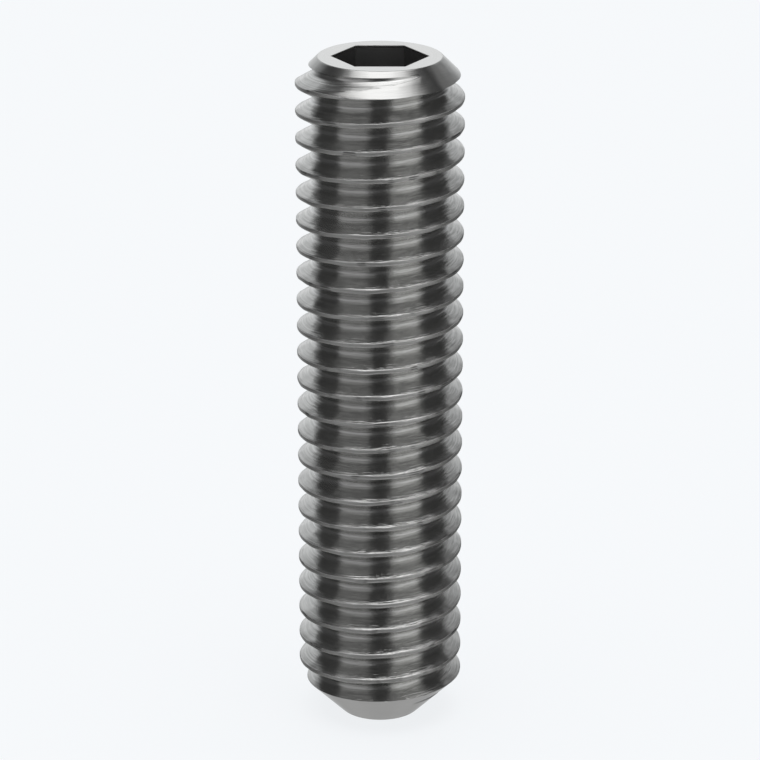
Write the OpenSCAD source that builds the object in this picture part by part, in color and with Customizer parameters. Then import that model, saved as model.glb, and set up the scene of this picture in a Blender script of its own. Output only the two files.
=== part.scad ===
// Grub set screw with a hexagon socket and a cup point.
// It stands on its point: the cup's rim is at z = 0 and the socket opens upwards.

/* [Thread] */
// Major diameter of the metric thread
thread_d = 6; // [6:0.5:8]
// Thread pitch
pitch = 1; // [0.8:0.05:1.25]
// Height above z = 0 at which a crest crosses the +X side
crest_start = 0.52; // [0:0.01:0.99]

/* [Body] */
// Overall length, from the socket face to the cup's rim
screw_len = 25; // [16:1:30]
// Diameter of the flat face round the socket
face_d = 4.4; // [3.9:0.1:4.6]

/* [Socket] */
// Width of the hexagon across its flats
socket_af = 3; // [2.5:0.1:3.2]
// Depth of the full hexagon
socket_depth = 3.5; // [2:0.1:5]
// Included angle of the drilled cone below the hexagon
drill_angle = 120; // [90:1:140]

/* [Cup point] */
// Outer diameter of the cup's rim
cup_d = 2.95; // [2.5:0.05:3.4]
// Width of the flat land left on the rim
cup_land = 0.1; // [0.05:0.01:0.2]
// Included angle of the cup
cup_angle = 120; // [90:1:130]

/* [Hidden] */

// Segments in a full circle, and straight steps in one turn of the helix
$fn = 72;
steps_per_turn = 36;

// Basic metric profile: the full V is cut to 17/24 of its height and leaves a flat crest
flank_angle = 30;
v_height = pitch / 2 / tan(flank_angle);
thread_depth = v_height * 17 / 24;
crest_flat = pitch / 8;
root_flat = pitch - crest_flat - 2 * thread_depth * tan(flank_angle);
thread_r = thread_d / 2;
root_r = thread_r - thread_depth;

// Both chamfers are at 45 degrees, so their heights equal their widths
face_r = face_d / 2;
rim_r = cup_d / 2;
top_chamfer = thread_r - face_r;
point_chamfer = thread_r - rim_r;

cup_mouth_r = rim_r - cup_land;
cup_depth = cup_mouth_r / tan(cup_angle / 2);
drill_r = socket_af / 2;
drill_depth = drill_r / tan(drill_angle / 2);

// The hexagon is drawn by its corners, which stand further out than its flats
hex_sides = 6;
socket_corner_d = socket_af / cos(180 / hex_sides);

// How far a cutting tool stands out of the metal, so that the two never share a face
clear = 0.06;
// The groove starts and ends where it has run out of the metal
groove_from = root_r - rim_r - pitch / 2;
groove_to = screw_len + pitch / 2;

// Plain blank: a turned rod, chamfered at both ends and cupped at the point
module blank() {
    rotate_extrude()
        polygon([
            [0, cup_depth],
            [cup_mouth_r, 0],
            [rim_r, 0],
            [thread_r, point_chamfer],
            [thread_r, screw_len - top_chamfer],
            [face_r, screw_len],
            [0, screw_len]
        ]);
}

// Section of the groove as [radius, height] pairs, from its upper lip round to its lower
function groove_section() =
    let (lip_r = thread_r + clear,
         lip_half = (pitch - crest_flat) / 2 + clear * tan(flank_angle))
    [[lip_r, lip_half], [root_r, root_flat / 2], [root_r, -root_flat / 2], [lip_r, -lip_half]];

// A point of the section, carried round the helix by an angle from the +X side
function on_helix(point, angle, start) =
    [point[0] * cos(angle), point[0] * sin(angle), point[1] + start + pitch * angle / 360];

// The helical V groove as one solid whose centre line runs from one height to another
module groove(from, to) {
    section = groove_section();
    n = len(section);
    // a groove crosses the +X side half a pitch above a crest
    start = crest_start + pitch / 2;
    first = floor((from - start) / pitch * steps_per_turn);
    last = ceil((to - start) / pitch * steps_per_turn);
    steps = last - first;
    points = [
        for (i = [first : last], point = section)
            on_helix(point, i * 360 / steps_per_turn, start)
    ];
    sides = [
        for (i = [0 : steps - 1], j = [0 : n - 1])
            let (a = i * n + j,
                 b = i * n + (j + 1) % n)
            each [[a, b, b + n], [a, b + n, a + n]]
    ];
    first_end = [for (j = [n - 1 : -1 : 0]) j];
    last_end = [for (j = [0 : n - 1]) steps * n + j];
    polyhedron(points, concat(sides, [first_end, last_end]));
}

// Hexagon with two corners on the X axis, and the drilled cone below it
module socket() {
    translate([0, 0, screw_len - socket_depth])
        cylinder(h = socket_depth + clear, d = socket_corner_d, $fn = hex_sides);
    translate([0, 0, screw_len - socket_depth - drill_depth])
        cylinder(h = drill_depth, r1 = 0, r2 = drill_r);
}

module set_screw() {
    color("silver")
        difference() {
            blank();
            groove(groove_from, groove_to);
            socket();
        }
}

set_screw();
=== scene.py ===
import math

import bpy
import bmesh
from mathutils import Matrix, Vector


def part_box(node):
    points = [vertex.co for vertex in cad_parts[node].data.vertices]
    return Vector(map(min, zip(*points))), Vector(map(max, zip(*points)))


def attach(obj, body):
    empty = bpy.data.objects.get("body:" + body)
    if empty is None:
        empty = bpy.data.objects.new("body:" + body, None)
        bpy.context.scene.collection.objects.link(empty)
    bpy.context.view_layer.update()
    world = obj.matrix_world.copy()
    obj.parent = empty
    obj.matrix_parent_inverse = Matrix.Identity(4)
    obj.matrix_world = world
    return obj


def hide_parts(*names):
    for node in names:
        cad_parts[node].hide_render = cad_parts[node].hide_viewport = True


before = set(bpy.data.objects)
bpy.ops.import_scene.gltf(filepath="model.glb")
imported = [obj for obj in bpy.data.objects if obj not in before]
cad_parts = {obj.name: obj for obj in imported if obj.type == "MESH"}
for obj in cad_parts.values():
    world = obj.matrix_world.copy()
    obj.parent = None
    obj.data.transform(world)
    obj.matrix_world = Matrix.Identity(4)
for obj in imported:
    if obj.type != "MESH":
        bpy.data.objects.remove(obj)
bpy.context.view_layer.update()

# Sizes, in metres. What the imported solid's box gives is read from it
MM = 0.001
SCREW_LOW, SCREW_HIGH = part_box("set_screw")
SCREW_LEN = SCREW_HIGH.z - SCREW_LOW.z
THREAD_R = SCREW_HIGH.x
PITCH = 1.0 * MM
# Height at which a crest crosses the +X side
CREST_START = 0.52 * MM
FACE_R = 2.2 * MM
RIM_R = 1.475 * MM
CUP_LAND = 0.1 * MM
CUP_ANGLE = math.radians(120)
SOCKET_AF = 3.0 * MM
SOCKET_DEPTH = 3.5 * MM
DRILL_ANGLE = math.radians(120)

# Metric thread profile. The root is round, and a crest's lower corner is rounder than its upper
FLANK = math.radians(30)
V_HEIGHT = PITCH / 2 / math.tan(FLANK)
THREAD_DEPTH = V_HEIGHT * 17 / 24
ROOT_R = THREAD_R - THREAD_DEPTH
ROOT_ROUND = V_HEIGHT / 6
CREST_FLAT = PITCH / 8
CREST_TOP_EASE = 0.03 * MM
CREST_LOW_EASE = 0.09 * MM

# Rolling leaves each crest a little off its true helix: waves as (height, cycles in a turn, phase)
CREST_WAVES = [(0.007 * MM, 9.37, 0.4), (0.007 * MM, 14.61, 2.1), (0.004 * MM, 23.83, 4.4)]

# Eased edges of the turned and broached faces: their size, how far their middle is off each face,
# and the distance of a ring that keeps the face beside them flat
EDGE_EASE = 0.03 * MM
EASE_MIDDLE = EDGE_EASE * 0.3
BESIDE_EDGE = EDGE_EASE * 1.5

# Mesh steps. Columns stand on the hexagon's corners, so their number divides by its sides
HEX_SIDES = 6
COLUMNS = 144
ROOT_STEPS = 4
FLANK_STEPS = 4
CREST_STEPS = 3
EASE_STEPS = 3
# Turns of the helix beyond each end of the screw, which the plain blank then cuts off
TURNS_BELOW = 3
TURNS_ABOVE = 2
# An edge that bends more than this is shaded as a sharp one
SHARP_ANGLE = math.radians(25)
# Vertices closer than this become one, and a ring as small as the second becomes a point
WELD = 0.0001 * MM
POINT_R = WELD / 10


def half_groove(ease):
    """Half of one pitch, from the groove's centre to the crest's, as (height, radius) pairs."""
    half_pitch = PITCH / 2
    corner = half_pitch - CREST_FLAT / 2
    bend = math.pi / 2 - FLANK
    root = []
    for i in range(ROOT_STEPS + 1):
        angle = bend * i / ROOT_STEPS
        root.append((ROOT_ROUND * math.sin(angle), ROOT_R + ROOT_ROUND * (1 - math.cos(angle))))
    crest = []
    tangent = ease * math.tan(bend / 2)
    for i in range(CREST_STEPS + 1):
        angle = bend * (1 - i / CREST_STEPS)
        z = corner + tangent - ease * math.sin(angle)
        crest.append((z, THREAD_R - ease * (1 - math.cos(angle))))
    flank = []
    (z0, r0), (z1, r1) = root[-1], crest[0]
    for i in range(1, FLANK_STEPS):
        t = i / FLANK_STEPS
        flank.append((z0 + (z1 - z0) * t, r0 + (r1 - r0) * t))
    return root + flank + crest + [(half_pitch, THREAD_R)]


def pitch_profile():
    """One pitch from crest centre up to just before the next crest centre."""
    below = [(-z, r) for z, r in reversed(half_groove(CREST_TOP_EASE))]
    above = half_groove(CREST_LOW_EASE)
    return below + above[1:-1]


def blank_radius(z):
    """Radius of the plain turned blank at a height, with both 45 degree chamfers."""
    return min(THREAD_R, RIM_R + z, FACE_R + SCREW_LEN - z)


def crest_wander(along, r):
    """How far a station is off the true helix, from the length along it in turns and the radius."""
    outward = (r - ROOT_R) / THREAD_DEPTH
    return outward ** 2 * sum(height * math.sin(2 * math.pi * cycles * along + phase)
                              for height, cycles, phase in CREST_WAVES)


def column(angle, profile, turns):
    """The screw's outside at one angle, from the rim up.

    Each station is (height, radius, whether it is on the edge where the thread meets the blank).
    """
    part = angle / (2 * math.pi)
    # a groove's centre is half a pitch above a crest
    rise = CREST_START + PITCH * (0.5 + part)
    # the stations above a groove's centre belong to the next crest up
    ideal = [(rise + turn * PITCH + z + crest_wander(turn + part + (z > 0), r), r)
             for turn in turns for z, r in profile]
    gap = [r - blank_radius(z) for z, r in ideal]
    stations = []
    for i, (z, r) in enumerate(ideal):
        edge = False
        if gap[i] > WELD:
            # a station outside the blank moves to the edge, if a neighbour of it is inside
            for j in (i - 1, i + 1):
                if 0 <= j < len(ideal) and gap[j] < -WELD:
                    t = gap[i] / (gap[i] - gap[j])
                    z += (ideal[j][0] - z) * t
                    edge = True
                    break
        z = min(max(z, EDGE_EASE), SCREW_LEN - EDGE_EASE)
        limit = blank_radius(z)
        stations.append((z, limit if edge else min(r, limit), edge))
    return stations


def around(r, z, i):
    """A place on one column."""
    angle = 2 * math.pi * i / COLUMNS
    return Vector((r * math.cos(angle), r * math.sin(angle), z))


def add_thread(mesh):
    """The whole outside between the two end faces, as one helical sheet."""
    profile = pitch_profile()
    turns = range(-TURNS_BELOW, math.ceil(SCREW_LEN / PITCH) + TURNS_ABOVE)
    columns = [column(2 * math.pi * i / COLUMNS, profile, turns) for i in range(COLUMNS)]
    verts = [[mesh.verts.new(around(r, z, i)) for z, r, _ in stations]
             for i, stations in enumerate(columns)]
    for i in range(COLUMNS):
        # the last column joins the first one a turn further up
        after, shift = (i + 1, 0) if i + 1 < COLUMNS else (0, len(profile))
        for k in range(len(columns[i]) - 1 - shift):
            corners = [(i, k), (after, k + shift), (after, k + shift + 1), (i, k + 1)]
            a, b, c, d = [verts[side][row] for side, row in corners]
            on_edge = [columns[side][row][2] for side, row in corners]
            # a face across the edge is split along it
            if on_edge[0] and on_edge[2]:
                faces = ((a, b, c), (a, c, d))
            elif on_edge[1] and on_edge[3]:
                faces = ((a, b, d), (b, c, d))
            else:
                faces = ((a, b, c, d),)
            for face in faces:
                mesh.faces.new(face)


def circle(r):
    """The same radius at each column."""
    return lambda i: r


def hexagon(flat):
    """Radius at each column of a hexagon, from how far its flats are out. A corner is on +X."""
    side = COLUMNS // HEX_SIDES
    return lambda i: flat / math.cos(2 * math.pi * (i % side) / COLUMNS - math.pi / HEX_SIDES)


def add_rings(mesh, rings):
    """Joins rings of one vertex per column, each given as (radius at a column, height)."""
    rows = [[mesh.verts.new(around(radius(i), z, i)) for i in range(COLUMNS)]
            for radius, z in rings]
    for low, high in zip(rows, rows[1:]):
        for i in range(COLUMNS):
            j = (i + 1) % COLUMNS
            mesh.faces.new((low[i], low[j], high[j], high[i]))


def eased(r_start, z_start, r_end, z_end, corner_r, corner_z):
    """Rings along a small curve that eases a corner between two points."""
    rings = []
    for i in range(EASE_STEPS + 1):
        t = i / EASE_STEPS
        near, middle, far = (1 - t) ** 2, 2 * t * (1 - t), t ** 2
        rings.append((circle(near * r_start + middle * corner_r + far * r_end),
                      near * z_start + middle * corner_z + far * z_end))
    return rings


def add_socket_end(mesh):
    """The flat face with the hexagon socket in it, and the drilled cone below."""
    flat = SOCKET_AF / 2
    floor_z = SCREW_LEN - SOCKET_DEPTH
    apex_z = floor_z - flat / math.tan(DRILL_ANGLE / 2)
    rings = eased(FACE_R + EDGE_EASE, SCREW_LEN - EDGE_EASE, FACE_R - EDGE_EASE, SCREW_LEN,
                  FACE_R, SCREW_LEN)
    rings += [(circle(FACE_R - BESIDE_EDGE), SCREW_LEN),
              (hexagon(flat + BESIDE_EDGE), SCREW_LEN),
              (hexagon(flat + EDGE_EASE), SCREW_LEN),
              (hexagon(flat + EASE_MIDDLE), SCREW_LEN - EASE_MIDDLE),
              (hexagon(flat), SCREW_LEN - EDGE_EASE),
              (hexagon(flat), SCREW_LEN - BESIDE_EDGE),
              (hexagon(flat), floor_z),
              (circle(flat - EDGE_EASE), floor_z),
              (circle(flat / 2), (floor_z + apex_z) / 2),
              (circle(POINT_R), apex_z)]
    add_rings(mesh, rings)


def add_cup_end(mesh):
    """The narrow land that the screw stands on, and the cup inside it."""
    mouth_r = RIM_R - CUP_LAND
    cup_depth = mouth_r / math.tan(CUP_ANGLE / 2)
    rings = [(circle(POINT_R), cup_depth), (circle(mouth_r / 2), cup_depth / 2)]
    rings += eased(mouth_r - EDGE_EASE, EDGE_EASE / math.tan(CUP_ANGLE / 2),
                   mouth_r + EDGE_EASE, 0, mouth_r, 0)
    rings += eased(RIM_R - EDGE_EASE, 0, RIM_R + EDGE_EASE, EDGE_EASE, RIM_R, 0)
    add_rings(mesh, rings)


def add_object(name, data):
    thing = bpy.data.objects.new(name, data)
    bpy.context.scene.collection.objects.link(thing)
    return thing


def make_screw(material):
    mesh = bmesh.new()
    add_cup_end(mesh)
    add_thread(mesh)
    add_socket_end(mesh)
    bmesh.ops.remove_doubles(mesh, verts=mesh.verts, dist=WELD)
    bmesh.ops.dissolve_degenerate(mesh, edges=mesh.edges, dist=WELD)
    for face in mesh.faces:
        face.smooth = True
    for edge in mesh.edges:
        edge.smooth = edge.calc_face_angle(0) < SHARP_ANGLE
    data = bpy.data.meshes.new("screw_body")
    mesh.to_mesh(data)
    mesh.free()
    data.materials.append(material)
    return add_object("screw_body", data)


class Graph:
    """Short names for adding shader nodes and joining them."""

    def __init__(self, tree):
        self.nodes = tree.nodes
        self.links = tree.links

    def node(self, kind, inputs=None, **settings):
        node = self.nodes.new(kind)
        for name, value in settings.items():
            setattr(node, name, value)
        for name, value in (inputs or {}).items():
            self.feed(node.inputs[name], value)
        return node

    def feed(self, socket, value):
        if isinstance(value, bpy.types.NodeSocket):
            self.links.new(value, socket)
        else:
            socket.default_value = value

    def math(self, operation, a, b=0.0, c=0.0):
        node = self.node("ShaderNodeMath", {0: a, 1: b, 2: c}, operation=operation)
        return node.outputs[0]

    def times(self, a, b):
        return self.math("MULTIPLY", a, b)

    def minus(self, a, b):
        return self.math("SUBTRACT", a, b)

    def apart(self, a, b):
        return self.math("ABSOLUTE", self.minus(a, b))

    def vector(self, operation, a, b=(0.0, 0.0, 0.0)):
        node = self.node("ShaderNodeVectorMath", {0: a, 1: b}, operation=operation)
        return node.outputs["Value" if operation in ("DOT_PRODUCT", "LENGTH") else "Vector"]

    def scaled(self, a, factor):
        node = self.node("ShaderNodeVectorMath", {0: a, "Scale": factor}, operation="SCALE")
        return node.outputs["Vector"]

    def joined(self, x, y, z):
        return self.node("ShaderNodeCombineXYZ", {0: x, 1: y, 2: z}).outputs[0]

    def split(self, vector):
        return list(self.node("ShaderNodeSeparateXYZ", {0: vector}).outputs)

    def level(self, vector):
        """The same vector without its height."""
        return self.vector("MULTIPLY", vector, (1, 1, 0))

    def mix(self, factor, a, b):
        """A number that goes from the first to the second as the factor goes from 0 to 1."""
        return self.node("ShaderNodeMix", {0: factor, 2: a, 3: b}).outputs[0]

    def blend(self, factor, a, b, **settings):
        """The same with a colour."""
        node = self.node("ShaderNodeMix", {0: factor, 6: a, 7: b}, data_type="RGBA", **settings)
        return node.outputs[2]

    def fade(self, value, full, gone):
        """A soft change from 1 at one limit to 0 at the other, which may be the lower one."""
        node = self.node("ShaderNodeMapRange", {"Value": value, "From Min": full, "From Max": gone,
                                                "To Min": 1.0, "To Max": 0.0},
                         interpolation_type="SMOOTHSTEP")
        return node.outputs["Result"]

    def noise(self, where, scale=1.0, detail=2.0, roughness=0.5, **inputs):
        node = self.node("ShaderNodeTexNoise", noise_dimensions="4D" if inputs else "3D")
        inputs.update({"Vector": where, "Scale": scale, "Detail": detail, "Roughness": roughness})
        for name, value in inputs.items():
            self.feed(node.inputs[name], value)
        return node.outputs["Fac"]


# Colours of the steel. The underside's and the socket's are painted shade
LIGHT_MARK = (0.87, 0.87, 0.86, 1)
DARK_MARK = (0.77, 0.77, 0.76, 1)
ROOT_COLOUR = (0.97, 0.97, 0.96, 1)
# painted shade: the flank that faces the point is darker, as light reaches it less
UNDERSIDE_SHADE_COLOUR = (0.70, 0.70, 0.69, 1)
CREST_COLOUR = (0.93, 0.93, 0.92, 1)
CREST_SIDE_COLOUR = (0.40, 0.40, 0.40, 1)
# painted shade: the socket's walls are darkened where little light gets in
SOCKET_SHADE_COLOUR = (0.42, 0.42, 0.42, 1)
# A dark streak's share of the colour, and how much more a light one has
STREAK_DARK = 0.91
STREAK_GAIN = 0.18

# Roughness of plain steel, and what each thing adds to it
ROUGHNESS = {"plain": 0.07, "marks": 0.08, "grain": 0.05, "crest": 0.34, "socket": 0.30}
# Heights of the relief, in millimetres. Those of the first turn and the crest's sides are taken off
RELIEF = {"rolled": 0.017, "first turn": 0.006, "smooth": 0.0015, "waves": 0.012, "sides": 0.003}

# Limits of the steel's masks, each as (full, gone).
# Millimetres off a turned face, below the crests and off the roots
TURNED_FADE = (0.004, 0.012)
CREST_FADE = (0.008, 0.035)
ROOT_FADE = (0.06, 0.15)
# Millimetres below the top face
MOUTH_FADE = (0.12, 0.02)
FIRST_TURN_FADE = (1.8, 2.6)
UPPER_HALF_FADE = (11.5, 12.5)
# Radius as a share of the socket's width across flats. It ends just outside the corners
SOCKET_FADE = (0.58, 0.60)
# Cosine of the helix's phase round a crest's middle, and its sine below a crest
CREST_MIDDLE_FADE = (0.999, 0.990)
UNDERSIDE_FADE = (-0.5, 0.0)
# Levels of noise
PATCHES_FADE = (0.66, 0.56)
STREAKS_FADE = (0.40, 0.60)
# The mask of the cup and the drilled cone ends this far inside the socket's flats
INSIDE_FLATS = 0.015

# How fast the marks change: by radius, across the thread, along the helix, and over a turned face
STREAKS_BY_RADIUS = 10.0
STREAKS_ACROSS = 3.0
MARKS_ALONG = (1.1, 0.8, 1.3)
TURNING_MARKS = 24.0


def under(top, depths):
    """Levels this far under another."""
    return [top - depth for depth in depths]


class Steel:
    """Bright steel: streaked along the helix, matt on the rolled crests, and darkened in the socket
    with painted shade.

    Lengths here are in millimetres, and a mask is 1 where it applies and 0 elsewhere.
    """

    def __init__(self, graph):
        self.graph = graph
        self.place = graph.scaled(graph.node("ShaderNodeTexCoord").outputs["Object"], 1 / MM)
        x, y, self.z = graph.split(self.place)
        self.radius = graph.vector("LENGTH", graph.level(self.place))
        # the phase is 0 on each crest, so its sine and cosine run on along the helix
        above = graph.minus(self.z, CREST_START / MM)
        phase = graph.minus(graph.times(above, 2 * math.pi * MM / PITCH),
                            graph.math("ARCTAN2", y, x))
        self.sine = graph.math("SINE", phase)
        self.cosine = graph.math("COSINE", phase)
        self.turned = self.turned_mask()
        self.on_crest = graph.fade(self.radius, *under(THREAD_R / MM, CREST_FADE))
        self.crest_sides = self.crest_sides_mask()
        self.in_socket = self.socket_mask()
        self.streaks, self.marks = self.make_marks()

    def turned_mask(self):
        """Both chamfers, the end faces, the cup and the drilled cone, which aren't rolled."""
        graph = self.graph
        low_cone = graph.apart(graph.minus(self.radius, self.z), RIM_R / MM)
        high_cone = graph.apart(graph.math("ADD", self.radius, self.z), (FACE_R + SCREW_LEN) / MM)
        inside = graph.minus(self.radius, SOCKET_AF / MM / 2 - INSIDE_FLATS)
        nearest = graph.math("MINIMUM", graph.minus(SCREW_LEN / MM, self.z), inside)
        for off in (low_cone, high_cone):
            nearest = graph.math("MINIMUM", nearest, off)
        return graph.fade(nearest, *TURNED_FADE)

    def crest_sides_mask(self):
        """Patches where rolling left a crest darker on both sides of its middle."""
        graph = self.graph
        off_middle = graph.minus(1.0, graph.fade(self.cosine, *CREST_MIDDLE_FADE))
        patches = graph.fade(graph.noise(self.place, scale=1.1), *PATCHES_FADE)
        return graph.times(self.on_crest, graph.times(off_middle, patches))

    def socket_mask(self):
        """The broached walls below the socket's mouth, which take painted shade, more roughness and
        less relief.
        """
        graph = self.graph
        inner = graph.fade(self.radius, *(SOCKET_AF / MM * share for share in SOCKET_FADE))
        deep = graph.fade(self.z, *under(SCREW_LEN / MM, MOUTH_FADE))
        upper = graph.fade(self.z, *under(SCREW_LEN / MM, UPPER_HALF_FADE))
        return graph.times(inner, graph.times(deep, upper))

    def make_marks(self):
        """Streaks along the helix, and the marks of each face: streaks or turning rings."""
        graph = self.graph
        across = graph.joined(graph.times(self.radius, STREAKS_BY_RADIUS),
                              graph.times(self.cosine, STREAKS_ACROSS),
                              graph.times(self.sine, STREAKS_ACROSS))
        # this also changes with the height, so the streaks differ from turn to turn
        along = graph.vector("DOT_PRODUCT", self.place, MARKS_ALONG)
        streaks = graph.noise(across, detail=3.0, roughness=0.6, W=along)
        rings = graph.noise(graph.joined(graph.times(self.radius, TURNING_MARKS),
                                         graph.times(self.z, TURNING_MARKS), along))
        return streaks, graph.mix(self.turned, streaks, rings)

    def colour(self):
        """Burnished in the root, with painted shade on the flank that faces the point and in the
        socket.
        """
        graph = self.graph
        rolled = graph.minus(1.0, self.turned)
        near_root = graph.fade(graph.apart(self.radius, ROOT_R / MM), *ROOT_FADE)
        facing_down = graph.fade(self.sine, *UNDERSIDE_FADE)
        colour = graph.blend(self.marks, LIGHT_MARK, DARK_MARK)
        # the flank that faces the point takes painted shade
        for mask, tint in ((graph.times(near_root, rolled), ROOT_COLOUR),
                           (graph.times(facing_down, rolled), UNDERSIDE_SHADE_COLOUR),
                           (self.on_crest, CREST_COLOUR)):
            colour = graph.blend(mask, colour, tint)
        # only the rolled faces are streaked light and dark
        light = graph.fade(self.streaks, *STREAKS_FADE)
        streak = graph.math("MULTIPLY_ADD", light, STREAK_GAIN, STREAK_DARK)
        shade = graph.mix(self.turned, streak, 1.0)
        colour = graph.blend(1.0, colour, shade, blend_type="MULTIPLY", clamp_result=True)
        colour = graph.blend(self.crest_sides, colour, CREST_SIDE_COLOUR)
        # painted shade darkens the socket's walls
        return graph.blend(self.in_socket, colour, SOCKET_SHADE_COLOUR)

    def roughness(self):
        """Mottled all over, and dull on the crests and in the socket."""
        graph = self.graph
        grain = graph.noise(self.place, scale=26.0, roughness=0.6)
        dull = graph.math("MAXIMUM", graph.times(self.on_crest, ROUGHNESS["crest"]),
                          graph.times(self.in_socket, ROUGHNESS["socket"]))
        mottle = graph.math("ADD", graph.times(self.marks, ROUGHNESS["marks"]),
                            graph.times(grain, ROUGHNESS["grain"]))
        return graph.math("ADD", graph.math("ADD", dull, mottle), ROUGHNESS["plain"])

    def normal(self):
        """Relief of the marks. The turned and broached faces are much smoother."""
        graph = self.graph
        waves = graph.noise(self.place, scale=1.6, detail=1.0)
        first_turn = graph.fade(self.z, *under(SCREW_LEN / MM, FIRST_TURN_FADE))
        rolled = graph.minus(RELIEF["rolled"], graph.times(first_turn, RELIEF["first turn"]))
        smooth = graph.math("MAXIMUM", self.turned, self.in_socket)
        height = graph.mix(smooth, rolled, RELIEF["smooth"])
        relief = graph.math("MULTIPLY_ADD", self.marks, height,
                            graph.times(waves, RELIEF["waves"]))
        relief = graph.minus(relief, graph.times(self.crest_sides, RELIEF["sides"]))
        bump = graph.node("ShaderNodeBump", {"Height": relief, "Strength": 1.0, "Distance": MM})
        return bump.outputs["Normal"]


def steel_material():
    material = bpy.data.materials.new("bright_steel")
    material.use_nodes = True
    graph = Graph(material.node_tree)
    steel = Steel(graph)
    inputs = graph.nodes["Principled BSDF"].inputs
    inputs["Metallic"].default_value = 1.0
    graph.feed(inputs["Base Color"], steel.colour())
    graph.feed(inputs["Roughness"], steel.roughness())
    graph.feed(inputs["Normal"], steel.normal())
    return material


# The table's top: it glows evenly, and its own colour takes only a pale shadow
FLOOR_SIZE = 2.0
FLOOR_LOOK = {
    "Base Color": (0.085, 0.086, 0.088, 1),
    "Roughness": 0.9,
    "Specular IOR Level": 0.0,
    "Emission Color": (0.91, 0.93, 0.95, 1),
    "Emission Strength": 0.91,
}


def floor_material():
    material = bpy.data.materials.new("pale_floor")
    material.use_nodes = True
    shader = material.node_tree.nodes["Principled BSDF"]
    for name, value in FLOOR_LOOK.items():
        shader.inputs[name].default_value = value
    return material


def make_floor():
    bpy.ops.mesh.primitive_plane_add(size=FLOOR_SIZE)
    floor = bpy.context.object
    floor.name = "floor"
    floor.data.materials.append(floor_material())
    # the metal reflects the studio below the horizon too, as it does over a glossy table
    floor.visible_glossy = False
    floor.visible_shadow = False


# Camera, from the outline's fit: it looks down at the screw's middle, from the -Y side
CAMERA_ELEVATION = math.radians(19.75)
CAMERA_DISTANCE = 121.2 * MM
AIM_HEIGHT = 12.91 * MM
FOCAL_PIXELS = 3338
FRAME_PIXELS = 760
SENSOR_WIDTH = 36
CLIP_START = 1 * MM
CLIP_END = 10


def make_camera():
    data = bpy.data.cameras.new("camera")
    data.sensor_width = SENSOR_WIDTH
    data.lens = data.sensor_width * FOCAL_PIXELS / FRAME_PIXELS
    data.clip_start = CLIP_START
    data.clip_end = CLIP_END
    camera = add_object("camera", data)
    back = Vector((0, -math.cos(CAMERA_ELEVATION), math.sin(CAMERA_ELEVATION)))
    camera.location = Vector((0, 0, AIM_HEIGHT)) + back * CAMERA_DISTANCE
    camera.rotation_mode = "QUATERNION"
    camera.rotation_quaternion = (-back).to_track_quat("-Z", "Y")
    bpy.context.scene.camera = camera


def grey(light):
    return (light,) * 3


# Soft boxes of the studio: (direction, half width, soft edge, lowest, highest, soft edge, light).
# Directions are degrees to the right of the camera, and heights are degrees above the horizon
SOFT_BOXES = {
    "right_box": (45, 26, 18, -26, 60, 11, (0.335, 0.337, 0.331)),
    "right_wall": (45, 26, 18, -100, 60, 12, grey(0.025)),
    "right_table": (45, 26, 18, -100, -41, 10, grey(0.28)),
    "left_box": (-48, 28, 16, -26, 60, 11, grey(0.160)),
    "left_wall": (-48, 28, 16, -100, 60, 12, grey(0.030)),
    "left_table": (-48, 28, 16, -100, -41, 10, grey(0.16)),
    "right_strip": (132, 14, 16, 22, 40, 10, grey(0.10)),
    "back_wall": (184, 34, 46, -35, 40, 20, (0.50, 0.51, 0.515)),
    "back_glow": (180, 12, 14, -5, 38, 16, grey(0.25)),
    "back_low": (180, 34, 40, -100, -36, 16, grey(0.22)),
    "low_sides": (180, 120, 50, -100, -38, 40, grey(0.11)),
}
# The round soft light overhead and its halo, as seen on a ceiling one unit above the screw:
# (place in depth, full within, gone by, light)
OVERHEAD = (-0.10, 0.15, 0.85, 1.00)
HALO = (0.0, 0.50, 1.10, 0.08)
# Keeps the ceiling's place finite for directions at and below the horizon
LEAST_RISE = 0.001
AMBIENT = 0.045
# The shaded table round the screw: (full below, gone by, light)
GROUND = (-66, -54, 0.35)
BACKDROP = (0.92, 0.94, 0.955, 1)


def soft_limits(limit, edge):
    """Where a soft edge starts and ends, from degrees to radians."""
    return math.radians(limit - edge / 2), math.radians(limit + edge / 2)


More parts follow.
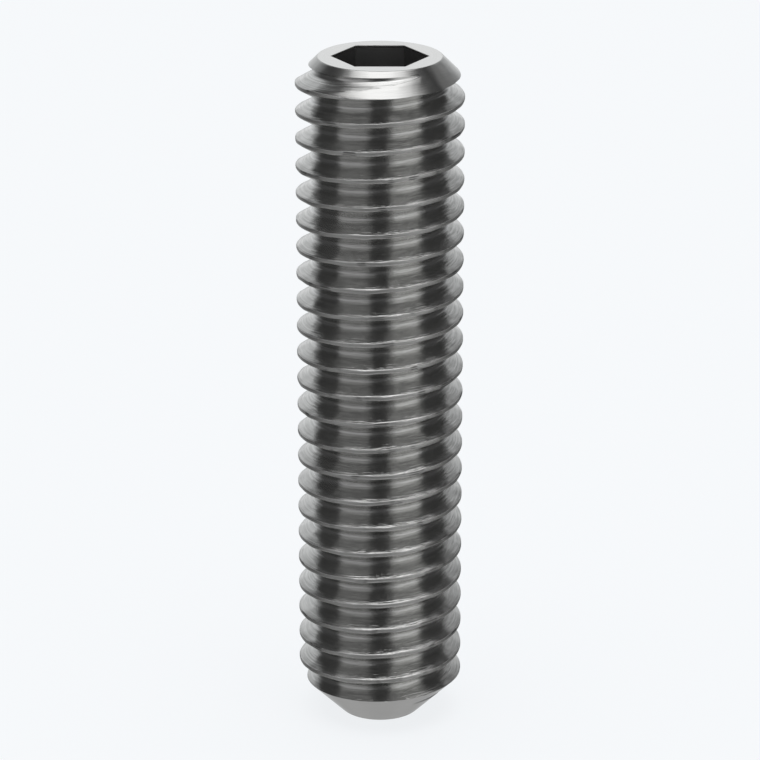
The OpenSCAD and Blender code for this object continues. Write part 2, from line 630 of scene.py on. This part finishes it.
def soft_box(graph, level, height, box):
    """One upright soft box, as light by direction."""
    heading, half_width, side_edge, low, high, end_edge, light = box
    angle = math.radians(heading)
    facing = graph.vector("DOT_PRODUCT", level, (math.sin(angle), -math.cos(angle), 0))
    across = graph.fade(graph.math("ARCCOSINE", facing), *soft_limits(half_width, side_edge))
    above = graph.fade(height, *soft_limits(high, end_edge))
    below = graph.fade(height, *reversed(soft_limits(low, end_edge)))
    return graph.scaled(light, graph.times(across, graph.times(above, below)))


def make_world():
    world = bpy.data.worlds.new("studio")
    bpy.context.scene.world = world
    world.use_nodes = True
    graph = Graph(world.node_tree)
    direction = graph.node("ShaderNodeTexCoord").outputs["Generated"]
    rise = graph.split(direction)[2]
    height = graph.math("ARCSINE", rise)
    level = graph.vector("NORMALIZE", graph.level(direction))
    light = grey(AMBIENT)
    for box in SOFT_BOXES.values():
        light = graph.vector("ADD", light, soft_box(graph, level, height, box))
    to_ceiling = graph.math("DIVIDE", 1.0, graph.math("MAXIMUM", rise, LEAST_RISE))
    over = graph.scaled(graph.level(direction), to_ceiling)
    for depth, full, gone, strength in (OVERHEAD, HALO):
        away = graph.vector("LENGTH", graph.vector("SUBTRACT", over, (0, depth, 0)))
        spot = graph.scaled(grey(strength), graph.fade(away, full, gone))
        light = graph.vector("ADD", light, spot)
    full, gone, strength = GROUND
    beyond = graph.fade(height, math.radians(gone), math.radians(full))
    shaded = graph.scaled(grey(strength), graph.minus(1.0, beyond))
    light = graph.vector("ADD", graph.scaled(light, beyond), shaded)
    seen = graph.node("ShaderNodeLightPath").outputs["Is Camera Ray"]
    graph.feed(graph.nodes["Background"].inputs["Color"], graph.blend(seen, light, BACKDROP))


# A broad soft light from above, which brightens the floor and doesn't show in the metal
FLOOR_LIGHT_SIZE = 0.6
FLOOR_LIGHT_HEIGHT = 0.5
FLOOR_LIGHT_WATTS = 2.6


def make_floor_light():
    data = bpy.data.lights.new("floor_light", "AREA")
    data.shape = "DISK"
    data.size = FLOOR_LIGHT_SIZE
    data.energy = FLOOR_LIGHT_WATTS
    light = add_object("floor_light", data)
    light.location = (0, 0, FLOOR_LIGHT_HEIGHT)
    light.visible_glossy = False
    light.visible_camera = False


screw = make_screw(steel_material())
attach(screw, "root")
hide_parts("set_screw")
make_floor()
make_camera()
make_world()
make_floor_light()
bpy.context.scene.view_settings.view_transform = "Standard"
